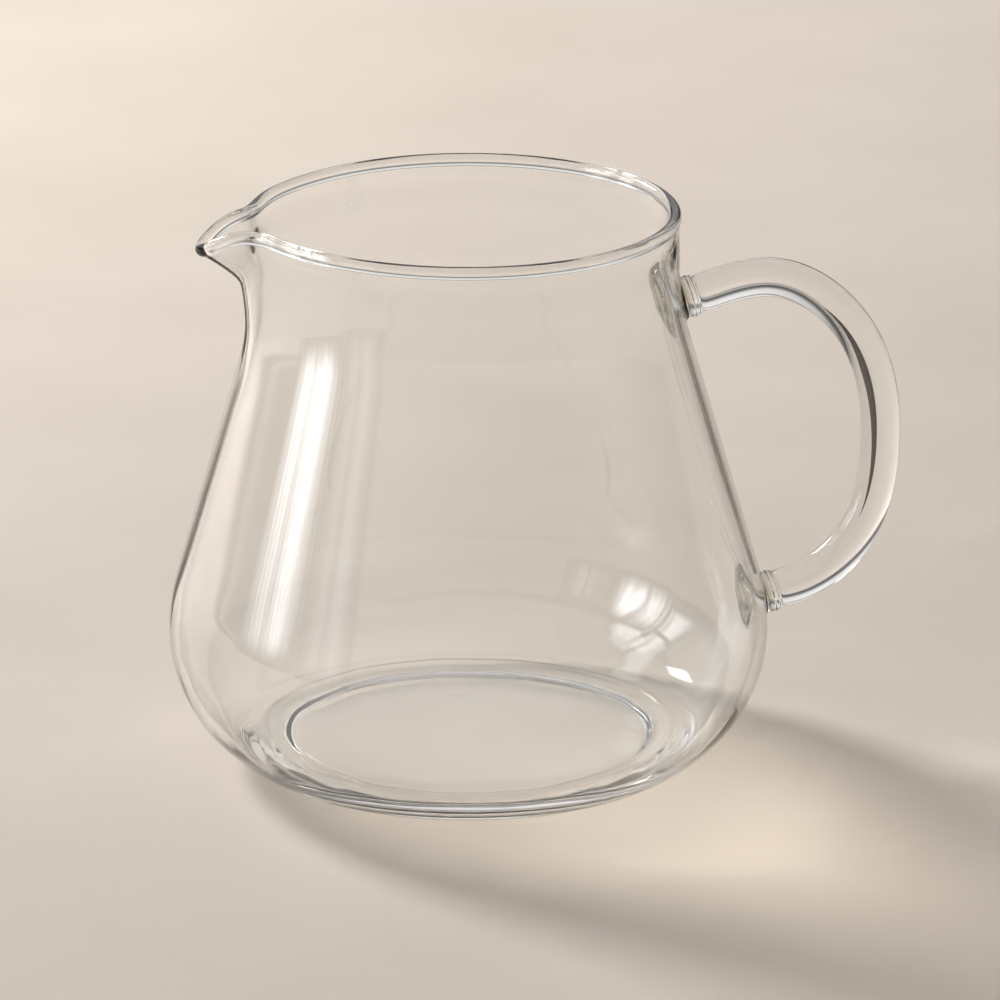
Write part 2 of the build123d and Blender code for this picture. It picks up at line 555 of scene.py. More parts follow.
def fan_faces(centre: int, ring: np.ndarray, flip: bool) -> np.ndarray:
    """Triangles from a centre vertex to a closed ring of vertices.

    Args:
        centre: Index of the centre.
        ring: Indices of the ring's vertices, in order.
        flip: True to turn the triangles over.

    Returns:
        Array of triangles.
    """
    after = np.roll(ring, -1)
    middle = np.full_like(ring, centre)
    return np.stack([middle, after, ring] if flip else [middle, ring, after], axis=1)


def block_edge(low: int, high: int, wide: int) -> tuple[np.ndarray, np.ndarray]:
    """Vertices round a block of the grid.

    Args:
        low: First row.
        high: Last row.
        wide: Number of columns on each side of column 0.

    Returns:
        Rows and columns, along the first row, up, back along the last row and down.
    """
    side, back = np.arange(low, high), np.arange(high, low, -1)
    there, again = np.arange(-wide, wide), np.arange(wide, -wide, -1)
    rows = np.concatenate([np.full(2 * wide, low), side, np.full(2 * wide, high), back])
    columns = np.concatenate([there, np.full(high - low, wide), again, np.full(high - low, -wide)])
    return rows, columns


@dataclass
class Net:
    """A node tree with short ways to add to it."""

    tree: bpy.types.NodeTree

    def node(self, kind: str) -> bpy.types.Node:
        """Add a node."""
        return self.tree.nodes.new(kind)

    def link(self, source: Socket | float | Vector | tuple[float, ...], target: Socket) -> None:
        """Link a socket, or set a number, a vector or a colour.

        Args:
            source: Output socket, or the value to set.
            target: Input socket.
        """
        if isinstance(source, Socket):
            self.tree.links.new(source, target)
        else:
            target.default_value = source

    def value(self, number: float) -> Socket:
        """Add a node that holds a number.

        Args:
            number: The number.

        Returns:
            Its socket.
        """
        made = self.node("ShaderNodeValue")
        made.outputs[0].default_value = number
        return made.outputs[0]

    def math(self, kind: str, *values: Socket | float) -> Socket:
        """Work out a sum.

        Args:
            kind: Name of the operation.
            values: Its sockets or numbers, in order.

        Returns:
            The result.
        """
        made = self.node("ShaderNodeMath")
        made.operation = kind
        for source, target in zip(values, made.inputs):
            self.link(source, target)
        return made.outputs[0]

    def product(self, first: Socket | float, *others: Socket | float) -> Socket:
        """Multiply sockets or numbers.

        Args:
            first: The first of them.
            others: The others, in order.

        Returns:
            The product.
        """
        for each in others:
            first = self.math("MULTIPLY", first, each)
        return first

    def rest(self, share: Socket) -> Socket:
        """What a share leaves of 1."""
        return self.math("SUBTRACT", 1.0, share)

    def measure(self, kind: str, first: Socket, second: Vector) -> Socket:
        """Work out a number from two vectors.

        Args:
            kind: Name of the operation, such as the distance or the dot product.
            first: Socket of the first vector.
            second: The second vector.

        Returns:
            The number.
        """
        made = self.node("ShaderNodeVectorMath")
        made.operation = kind
        for source, target in zip((first, second), made.inputs):
            self.link(source, target)
        return made.outputs["Value"]

    def split(self, vector: Socket) -> tuple[Socket, ...]:
        """Split a vector.

        Args:
            vector: Socket of the vector.

        Returns:
            Its X, Y and Z.
        """
        made = self.node("ShaderNodeSeparateXYZ")
        self.link(vector, made.inputs[0])
        return tuple(made.outputs)

    def step(self, value: Socket, low: float, high: float) -> Socket:
        """Smooth step, which goes up or down.

        Args:
            value: Value to map.
            low: Value where the step is 0.
            high: Value where the step is 1, which may be the smaller one.

        Returns:
            The step.
        """
        made = self.node("ShaderNodeMapRange")
        made.interpolation_type = "SMOOTHSTEP"
        turned = low > high
        made.inputs["From Min"].default_value = min(low, high)
        made.inputs["From Max"].default_value = max(low, high)
        made.inputs["To Min"].default_value = 1.0 if turned else 0.0
        made.inputs["To Max"].default_value = 0.0 if turned else 1.0
        self.link(value, made.inputs["Value"])
        return made.outputs["Result"]

    def band(self, value: Socket, rise: Span, fall: Span) -> Socket:
        """Band that comes up over one span and goes down over another."""
        return self.product(self.step(value, *rise), self.step(value, *fall))

    def blend(self, share: Socket, first: Socket | tuple[float, ...], second: tuple[float, ...]) -> Socket:
        """Mix two colours.

        Args:
            share: Share of the second colour.
            first: The first colour.
            second: The second colour.

        Returns:
            The mixed colour.
        """
        made = self.node("ShaderNodeMix")
        made.data_type = "RGBA"
        for source, name in ((share, "Factor_Float"), (first, "A_Color"), (second, "B_Color")):
            self.link(source, next(each for each in made.inputs if each.identifier == name))
        return next(each for each in made.outputs if each.identifier == "Result_Color")

    def ramp(self, share: Socket, first: Colour, last: Colour, ends: Span = (0.0, 1.0)) -> Socket:
        """Colour along an even ramp.

        Args:
            share: Place on the ramp.
            first: Colour up to the first end.
            last: Colour from the last end on.
            ends: Places of the two ends.

        Returns:
            The colour.
        """
        made = self.node("ShaderNodeValToRGB")
        for stop, place, colour in zip(made.color_ramp.elements, ends, (first, last)):
            stop.position = place
            stop.color = (*colour, 1.0)
        self.link(share, made.inputs["Fac"])
        return made.outputs["Color"]

    def mapping(self, where: Socket, scale: Triple, turn: Triple = (0.0, 0.0, 0.0)) -> Socket:
        """Stretch and turn a place.

        Args:
            where: Socket of the place.
            scale: Factors along X, Y and Z.
            turn: Angles round X, Y and Z, in radians.

        Returns:
            The new place.
        """
        made = self.node("ShaderNodeMapping")
        made.inputs["Rotation"].default_value = turn
        made.inputs["Scale"].default_value = scale
        self.link(where, made.inputs["Vector"])
        return made.outputs["Vector"]

    def noise(self, where: Socket, scale: float, detail: float) -> Socket:
        """Soft noise pattern.

        Args:
            where: Socket of the place.
            scale: Number of spots in a metre.
            detail: Number of finer patterns on top.

        Returns:
            Its value, about 0.5 on the whole.
        """
        made = self.node("ShaderNodeTexNoise")
        made.inputs["Scale"].default_value = scale
        made.inputs["Detail"].default_value = detail
        self.link(where, made.inputs["Vector"])
        return made.outputs["Fac"]

    def facing(self, blend: float) -> Socket:
        """How far a surface is seen edge on.

        Args:
            blend: Bias of the result.

        Returns:
            Share from 0, seen straight on, to 1, seen edge on.
        """
        made = self.node("ShaderNodeLayerWeight")
        made.inputs["Blend"].default_value = blend
        return made.outputs["Facing"]

    def clear(self, colour: Socket | tuple[float, ...] = (1.0, 1.0, 1.0, 1.0)) -> Socket:
        """Shader that rays pass straight through.

        Args:
            colour: Share of the light that it lets pass, by colour.

        Returns:
            The shader.
        """
        made = self.node("ShaderNodeBsdfTransparent")
        self.link(colour, made.inputs["Color"])
        return made.outputs["BSDF"]

    def mixed(self, share: Socket, first: Socket, second: Socket) -> Socket:
        """Mix two shaders.

        Args:
            share: Share of the second shader.
            first: The first shader.
            second: The second shader.

        Returns:
            The mixed shader.
        """
        made = self.node("ShaderNodeMixShader")
        for source, target in zip((share, first, second), made.inputs):
            self.link(source, target)
        return made.outputs["Shader"]

    def surface(self, shader: Socket) -> None:
        """Make a shader the surface of the material."""
        self.link(shader, self.node("ShaderNodeOutputMaterial").inputs["Surface"])


def new_material(name: str) -> tuple[bpy.types.Material, Net]:
    """Start a material.

    Args:
        name: Name of the material.

    Returns:
        The material and its empty node tree.
    """
    made = bpy.data.materials.new(name)
    made.use_nodes = True
    made.node_tree.nodes.clear()
    return made, Net(made.node_tree)


def new_object(name: str, data: bpy.types.ID) -> bpy.types.Object:
    """Make an object and put it in the scene.

    Args:
        name: Name of the object.
        data: Its mesh, lamp or camera.

    Returns:
        The new object, at the origin.
    """
    made = bpy.data.objects.new(name, data)
    bpy.context.scene.collection.objects.link(made)
    return made


def place_piece(
    name: str, mesh: bpy.types.Mesh, materials: tuple[bpy.types.Material, ...], node: str
) -> bpy.types.Object:
    """Make a piece of the server, give it its materials and put it in the frame.

    Args:
        name: Name of the piece.
        mesh: Its mesh.
        materials: Its glass, and the material of the places where it is fused.
        node: The solid that it stands for.

    Returns:
        The new object.
    """
    made = new_object(name, mesh)
    for material in materials:
        made.data.materials.append(material)
    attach(made, "root")
    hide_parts(node)
    return made


@dataclass(frozen=True)
class Seal:
    """Where a foot is melted on the wall: the point and the rod's direction, in metres."""

    centre: Vector
    way: Vector


@dataclass(frozen=True)
class BlownGlass:
    """Clear heat-proof glass, with a blown wall's waves, the marks of melted joints, and painted shade at its
    edges and, if given, next to the joints, in metres.
    """

    name: str
    seals: tuple[Seal, ...] = ()
    ring_height: float = 0.0
    # painted shade: colour of the darker band on each foot next to the wall, or None for no band
    joint_shade: Colour | None = None
    ior: float = 1.472
    tint: Colour = (0.985, 0.988, 0.985)
    # painted shade: the colour that the glass darkens to where its surface is seen edge on
    edge: Colour = (0.12, 0.10, 0.08)
    edge_shade_blend: float = 0.5
    edge_shade_span: Span = (0.72, 0.97)
    shade_middle: Colour = (0.72, 0.705, 0.68)
    shade_edge: Colour = (0.20, 0.19, 0.17)
    shade_blend: float = 0.35
    wave_scale: float = 38.0
    wave_detail: float = 1.5
    wave_stretch: float = 0.22
    wave_height: float = 0.00009
    swirl_scale: float = 70.0
    swirl_detail: float = 1.0
    swirl_stretch: float = 0.25
    swirl_turn: Triple = (0.6, 0.7, 0.0)
    swirl_height: float = 0.0004
    swirl_rise: Span = (0.004, 0.010)
    swirl_fall: Span = (0.044, 0.018)
    disc_fall: Span = (0.0066, 0.0056)
    ripple_pitch: float = 0.0016
    ripple_share: float = 0.25
    ripple_fall: Span = (0.0080, 0.0050)
    joint_shade_along: Span = (0.0021, 0.0011)
    joint_shade_across: Span = (0.0090, 0.0070)

    def waves(self, net: Net, where: Socket) -> Socket:
        """Waves of the blown wall: long upright ones, plus slanting ones low on the belly.

        Args:
            net: Nodes of the material.
            where: Place on the piece.

        Returns:
            Height: one noise times the waves' height, plus another times the swirls' height in their band.
        """
        place = net.mapping(where, (1.0, 1.0, self.wave_stretch))
        upright = net.noise(place, self.wave_scale, self.wave_detail)
        place = net.mapping(where, (1.0, 1.0, self.swirl_stretch), self.swirl_turn)
        slanting = net.noise(place, self.swirl_scale, self.swirl_detail)
        low = net.band(net.split(where)[2], self.swirl_rise, self.swirl_fall)
        slanting = net.product(slanting, low, self.swirl_height)
        return net.math("ADD", net.product(upright, self.wave_height), slanting)

    def ring_marks(self, net: Net, where: Socket, seal: Seal) -> Socket:
        """Raised disc with ripples that a joint leaves in the wall.

        Args:
            net: Nodes of the material.
            where: Place on the piece.
            seal: The joint.

        Returns:
            Height: a smooth step at the disc's edge, plus a share of sin(2 pi distance / pitch) that fades.
        """
        away = net.measure("DISTANCE", where, seal.centre)
        disc = net.step(away, *self.disc_fall)
        ripple = net.math("SINE", net.product(away, 2 * math.pi / self.ripple_pitch))
        ripple = net.product(ripple, net.step(away, *self.ripple_fall), self.ripple_share)
        return net.product(net.math("ADD", disc, ripple), self.ring_height)

    def joint_shade_band(self, net: Net, where: Socket, seal: Seal) -> Socket:
        """Painted shade: a darker band that a foot has next to the wall.

        Args:
            net: Nodes of the material.
            where: Place on the piece.
            seal: The joint.

        Returns:
            Share of the band: a smooth step along the rod's direction, times one away from the joint.
        """
        along = net.measure("DOT_PRODUCT", where, seal.way)
        along = net.math("SUBTRACT", along, seal.centre.dot(seal.way))
        away = net.measure("DISTANCE", where, seal.centre)
        return net.product(net.step(along, *self.joint_shade_along), net.step(away, *self.joint_shade_across))

    def relief(self, net: Net, where: Socket) -> Socket:
        """Fine relief of the surface.

        Args:
            net: Nodes of the material.
            where: Place on the piece.

        Returns:
            Height of the waves, plus the ring marks of every joint where the piece has them.
        """
        height = self.waves(net, where)
        for seal in self.seals if self.ring_height else ():
            height = net.math("ADD", height, self.ring_marks(net, where, seal))
        return height

    def colour(self, net: Net, where: Socket) -> Socket:
        """Colour of the glass, with painted shade where it is seen edge on and in bands next to the joints.

        Args:
            net: Nodes of the material.
            where: Place on the piece.

        Returns:
            The colour.
        """
        # painted shade: the glass turns darker where its surface is seen edge on, by Layer Weight
        rim = net.step(net.facing(self.edge_shade_blend), *self.edge_shade_span)
        colour = net.blend(rim, (*self.tint, 1.0), (*self.edge, 1.0))
        if self.joint_shade is None:
            return colour
        # painted shade: darker bands on the feet next to the wall
        dark = net.value(0.0)
        for seal in self.seals:
            dark = net.math("ADD", dark, self.joint_shade_band(net, where, seal))
        return net.blend(dark, colour, (*self.joint_shade, 1.0))

    def material(self) -> bpy.types.Material:
        """Build the glass, which lets lamps through as pale shadows that are darker at its edges.

        Returns:
            The new material.
        """
        made, net = new_material(self.name)
        where = net.node("ShaderNodeTexCoord").outputs["Object"]
        glass = net.node("ShaderNodeBsdfPrincipled")
        glass.inputs["Base Color"].default_value = (*self.tint, 1.0)
        glass.inputs["Roughness"].default_value = 0.0
        glass.inputs["IOR"].default_value = self.ior
        glass.inputs["Transmission Weight"].default_value = 1.0
        net.link(self.colour(net, where), glass.inputs["Base Color"])
        bump = net.node("ShaderNodeBump")
        bump.inputs["Strength"].default_value = 1.0
        bump.inputs["Distance"].default_value = 1.0
        net.link(self.relief(net, where), bump.inputs["Height"])
        net.link(bump.outputs["Normal"], glass.inputs["Normal"])
        shade = net.ramp(net.facing(self.shade_blend), self.shade_middle, self.shade_edge)
        to_lamp = net.node("ShaderNodeLightPath").outputs["Is Shadow Ray"]
        net.surface(net.mixed(to_lamp, glass.outputs["BSDF"], net.clear(shade)))
        return made


@dataclass(frozen=True)
class FusedGlass:
    """The place inside the glass where two pieces are melted together, where only a faint grey shows."""

    name: str = "fused_joint"
    through: Colour = (0.86, 0.85, 0.81)

    def material(self) -> bpy.types.Material:
        """Build the clear material, which rays pass straight through.

        Returns:
            The new material.
        """
        made, net = new_material(self.name)
        net.surface(net.clear((*self.through, 1.0)))
        return made


@dataclass
class Vessel:
    """The blown jug, one closed wall with a beaded rim, a pouring lip and a raised base.

    The rows of the wall above the widest ring lie in three stretches, closer together towards the rim. The
    footprints are the directions of the corners of the patch at each joint, which build works out and the
    feet take over.
    """

    jug: JugSizes
    lip: LipShape
    joints: tuple[JointSizes, ...]
    columns: int = 380
    lip_density: float = 5.0
    lip_spread: float = 12.0
    column_search: int = 7200
    stretch_ends: tuple[float, ...] = (0.0, 0.68, 0.968, 1.0)
    stretch_rows: tuple[int, ...] = (38, 24, 17)
    bead_steps: int = 14
    patch_margin: float = 2.6
    patch_rings: int = 5
    footprints: dict[str, np.ndarray] = field(default_factory=dict)

    def azimuths(self) -> np.ndarray:
        """Angles of the columns, closer together round the lip.

        Returns:
            Angles in radians, even in the running sum of 1 + density exp(-(turn / spread)^2).
        """
        fine = np.linspace(0.0, 2 * math.pi, self.column_search + 1)
        turn = np.degrees(np.angle(np.exp(1j * (fine - math.pi))))
        weight = 1.0 + self.lip_density * np.exp(-((turn / self.lip_spread) ** 2))
        total = np.concatenate([[0.0], np.cumsum((weight[1:] + weight[:-1]) / 2)])
        return np.interp(np.arange(self.columns) * total[-1] / self.columns, total, fine)

    def wall_rows(self) -> np.ndarray:
        """Places of the rows between the widest ring and the rim.

        Returns:
            Shares of the height, from 0 to 1, even within each stretch.
        """
        ends = zip(self.stretch_ends, self.stretch_ends[1:], self.stretch_rows)
        stretches = [np.linspace(low, high, rows) for low, high, rows in ends]
        return np.concatenate([stretches[0], *(stretch[1:] for stretch in stretches[1:])])

    def build(self) -> bpy.types.Mesh:
        """Build the wall as rows of rings: the outside up to the rim, over the bead, and the inside down.

        Returns:
            The closed mesh, in metres.
        """
        jug = self.jug
        wall = WallShape(jug, self.lip)
        azimuth = self.azimuths()
        rim = wall.rim(azimuth)
        outer_low = jug.outer_foot()
        inner_low = jug.inner_foot()
        share = self.wall_rows()[:, None]
        height = jug.belly_height + share * (rim[None, :] - jug.belly_height)
        around = np.broadcast_to(azimuth[None, :], height.shape)
        middle = wall.middle(around, height)
        normal = wall.normal(around, height)
        below = np.linalg.norm(middle - middle[-1:], axis=-1)
        half = self.half_wall(below)
        outside = middle + half[..., None] * normal
        inside = middle - half[..., None] * normal
        bead = self.bead_rows(middle[-1], normal[-1])
        bottom_rings = turned(outer_low[1:], azimuth)
        floor_rings = turned(inner_low[1:][::-1], azimuth)
        points = np.concatenate([bottom_rings, outside, bead, inside[::-1], floor_rings])
        hollow = len(outer_low) - 1 + len(outside) + len(bead)
        points[hollow:] = self.dimpled(points[hollow:])
        parts = MeshParts()
        first = parts.add(points)
        faces = grid_faces(first, len(points), self.columns, True)
        parts.join(self.cut_joints(parts, faces, points))
        bottom = parts.add(np.array([[0.0, 0.0, outer_low[0, 1]]]))
        top = parts.add(np.array([[0.0, 0.0, inner_low[0, 1]]]))
        ring = np.arange(self.columns)
        parts.join(fan_faces(bottom, ring, True))
        parts.join(fan_faces(top, first + (len(points) - 1) * self.columns + ring, False))
        return parts.mesh("vessel_glass_wall")

    def half_wall(self, below: np.ndarray) -> np.ndarray:
        """Half of the wall's thickness at distances below the middle of the rim.

        It is the larger of the bead's circle sqrt(r^2 - d^2) and the wall, which is thinner near the rim,
        with the corner between them rounded: (a + b + sqrt((a - b)^2 + k^2)) / 2. The rounding k is zero at
        the rim's middle and again below the bead.

        Args:
            below: Distances below the rim's middle.

        Returns:
            Half thicknesses.
        """
        jug = self.jug
        wall = (jug.wall - (jug.wall - jug.lip_wall) * (1.0 - ease(*jug.lip_wall_run, below))) / 2
        bead = np.sqrt(np.maximum(jug.bead_radius**2 - below**2, 0.0))
        round_off = jug.bead_cove * ease(0.0, jug.bead_cove, below) * (1.0 - ease(*jug.cove_fade, below))
        return (bead + wall + np.sqrt((bead - wall) ** 2 + round_off**2)) / 2

    def dimpled(self, points: np.ndarray) -> np.ndarray:
        """Inner points, pushed inwards where the hot feet were pressed on the wall.

        Args:
            points: Points of the inner surface.

        Returns:
            The points moved along X by -depth exp(-(distance / reach)^4), where the distance is measured
            from the middle of the joint along the wall.
        """
        profile = OuterProfile(self.jug)
        moved = points.copy()
        for joint in self.joints:
            centre, _, _ = joint.axis(profile)
            along = np.sum((points - centre) ** 2, axis=-1) - self.jug.wall**2
            away = np.sqrt(np.maximum(along, 0.0))
            moved[..., 0] -= joint.dimple * np.exp(-((away / joint.dimple_reach) ** 4))
        return moved

    def bead_rows(self, centre: np.ndarray, out: np.ndarray) -> np.ndarray:
        """Half circles over the rim.

        Each is centre + radius (cos t out + sin t up), where up is square to the rim's run and to out.

        Args:
            centre: Middle of the rim at each column.
            out: Outward normal at each column.

        Returns:
            Rows of points between the outside and the inside, their ends left out.
        """
        run = unit(np.roll(centre, -1, axis=0) - np.roll(centre, 1, axis=0))
        up = unit(np.cross(out, run))
        up = up * np.sign(up[:, 2:])
        turn = np.linspace(0.0, math.pi, self.bead_steps + 1)[1:-1, None, None]
        return centre + self.jug.bead_radius * (np.cos(turn) * out + np.sin(turn) * up)

    def block(self, joint: JointSizes, profile: OuterProfile, points: np.ndarray) -> tuple[int, int, int]:
        """Block of the grid that the patch at a joint takes the place of.

        Args:
            joint: The joint.
            profile: Outline of the wall.
            points: Vertices of the grid, by row and column.

        Returns:
            First and last row of the block's edge, and the number of columns on each side of the joint.
        """
        margin = joint.flare + self.patch_margin
        reach = joint.axis(profile)[0][0]
        heights = points[: int(np.argmax(points[:, 0, 2])), 0, 2]
        away = np.abs(profile.length_at(heights) - profile.length_at(np.array(joint.height)))
        _, outline = profile.dense()
        near = np.nonzero((heights >= outline[0, 1]) & (away < margin))[0]
        low, high = near[0] - 1, near[-1] + 1
        angle = np.arctan2(points[low, :, 1], points[low, :, 0])
        wide = int(np.sum((angle >= 0) & (angle * reach < margin))) + 1
        return int(low), int(high), wide

    def cut_joints(self, parts: MeshParts, faces: np.ndarray, points: np.ndarray) -> np.ndarray:
        """Replace a block of faces round each joint by rings that run from the block's edge to a circle.

        Args:
            parts: Gathers the patches.
            faces: Faces of the main grid, by row and column.
            points: Vertices of the main grid, by row and column.

        Returns:
            The main grid's remaining faces, as a list.
        """
        profile = OuterProfile(self.jug)
        kept = np.ones(faces.shape[:2], bool)
        for joint in self.joints:
            low, high, wide = self.block(joint, profile, points)
            kept[low:high, :wide] = False
            kept[low:high, -wide:] = False
            rows, columns = block_edge(low, high, wide)
            edge = points[rows, columns]
            across = np.arctan2(edge[:, 1], edge[:, 0]) * joint.axis(profile)[0][0]
            along = profile.length_at(edge[:, 2]) - profile.length_at(np.array(joint.height))
            turns = np.arctan2(along, across)
            share = np.linspace(1.0, 0.0, self.patch_rings + 2)[1:-1, None]
            between = joint.on_wall(
                profile,
                across * share + (1.0 - share) * joint.flare * np.cos(turns),
                along * share + (1.0 - share) * joint.flare * np.sin(turns),
            )
            rings = np.concatenate([between, joint.disc(profile, turns)[::-1]])
            count = len(turns)
            ring = np.arange(count)
            first = parts.add(rings)
            border = rows * self.columns + columns % self.columns
            after = np.roll(ring, -1)
            parts.join(np.stack([border, border[after], first + after, first + ring], axis=1))
            quads = grid_faces(first, len(rings), count, True)
            parts.join(quads[: len(between)])
            parts.join(quads[len(between) :], Face.FUSED)
            pole = parts.add(joint.on_wall(profile, np.zeros(1), np.zeros(1)))
            parts.join(fan_faces(pole, first + (len(rings) - 1) * count + ring, False), Face.FUSED)
            self.footprints[joint.name] = turns
        return faces[kept]

    def dress(self, glass: bpy.types.Material, fused: bpy.types.Material) -> bpy.types.Object:
        """Make the object, with its glass and the material where the feet are melted on."""
        return place_piece("vessel_wall", self.build(), (glass, fused), "vessel")


@dataclass
class HandleFoot:
    """A foot of the handle, where the hot rod was pressed on the wall and flowed out."""

    jug: JugSizes
    joint: JointSizes
    turns: np.ndarray
    wall_pull: float = 0.62
    neck_pull: float = 0.6
    side_steps: int = 18
    groove_steps: int = 5

    def build(self) -> bpy.types.Mesh:
        """Build the foot from the footprint on the wall to the seam with the rod.

        Its side leaves the wall and turns into the rod's direction along a cubic Bezier curve. The
        collar swells by half a sine wave with a few coils, which are a finer sine wave, and a quarter
        circle rounds it down to the seam.

        Returns:
            The closed mesh, in metres.
        """
        profile = OuterProfile(self.jug)
        joint = self.joint
        centre, way, above = joint.axis(profile)
        disc = joint.disc(profile, self.turns)
        edge = disc[-1]
        inward = unit(disc[-2] - edge)
        out = np.cos(self.turns)[:, None] * np.array([0.0, 1.0, 0.0]) + np.sin(self.turns)[:, None] * above
        share = np.linspace(0.0, 1.0, self.side_steps + 1)[:, None, None]
        neck = centre + way * joint.cove + joint.collar * out
        wall_handle = edge + inward * self.wall_pull * (joint.flare - joint.collar)
        neck_handle = neck - way * self.neck_pull * joint.cove
        cove = (
            (1 - share) ** 3 * edge
            + 3 * (1 - share) ** 2 * share * wall_handle
            + 3 * (1 - share) * share**2 * neck_handle
            + share**3 * neck
        )
        run = share[1:] * (joint.length - joint.cove)
        swell = joint.bulge * np.sin(math.pi * share[1:])
        coil = joint.coil_height * np.sin(2 * math.pi * joint.coils * share[1:])
        collar = neck + run * way + (swell + coil) * out
        turn = np.linspace(0.0, math.pi / 2, self.groove_steps + 1)[1:, None, None]
        rounded = collar[-1] + joint.groove * (np.sin(turn) * way - (1.0 - np.cos(turn)) * out)
        count = len(self.turns)
        parts = MeshParts()
        rings = np.concatenate([disc[:-1], cove, collar, rounded])
        first = parts.add(rings)
        quads = grid_faces(first, len(rings), count, True)
        caps = len(disc) - 1
        parts.join(quads[:caps], Face.FUSED)
        parts.join(quads[caps:])
        ring = np.arange(count)
        wall_pole = parts.add(joint.on_wall(profile, np.zeros(1), np.zeros(1)))
        seam_pole = parts.add(rounded[-1].mean(axis=0, keepdims=True))
        parts.join(fan_faces(wall_pole, first + ring, True), Face.FUSED)
        parts.join(fan_faces(seam_pole, first + (len(rings) - 1) * count + ring, False), Face.FUSED)
        return parts.mesh(f"{joint.name}_foot_glass", sharp=True)

    def dress(self, glass: bpy.types.Material, fused: bpy.types.Material) -> bpy.types.Object:
        """Make the object, with its glass and the material of its fused ends."""
        name = self.joint.name
        return place_piece(f"{name}_foot", self.build(), (glass, fused), f"{name}_handle_foot")


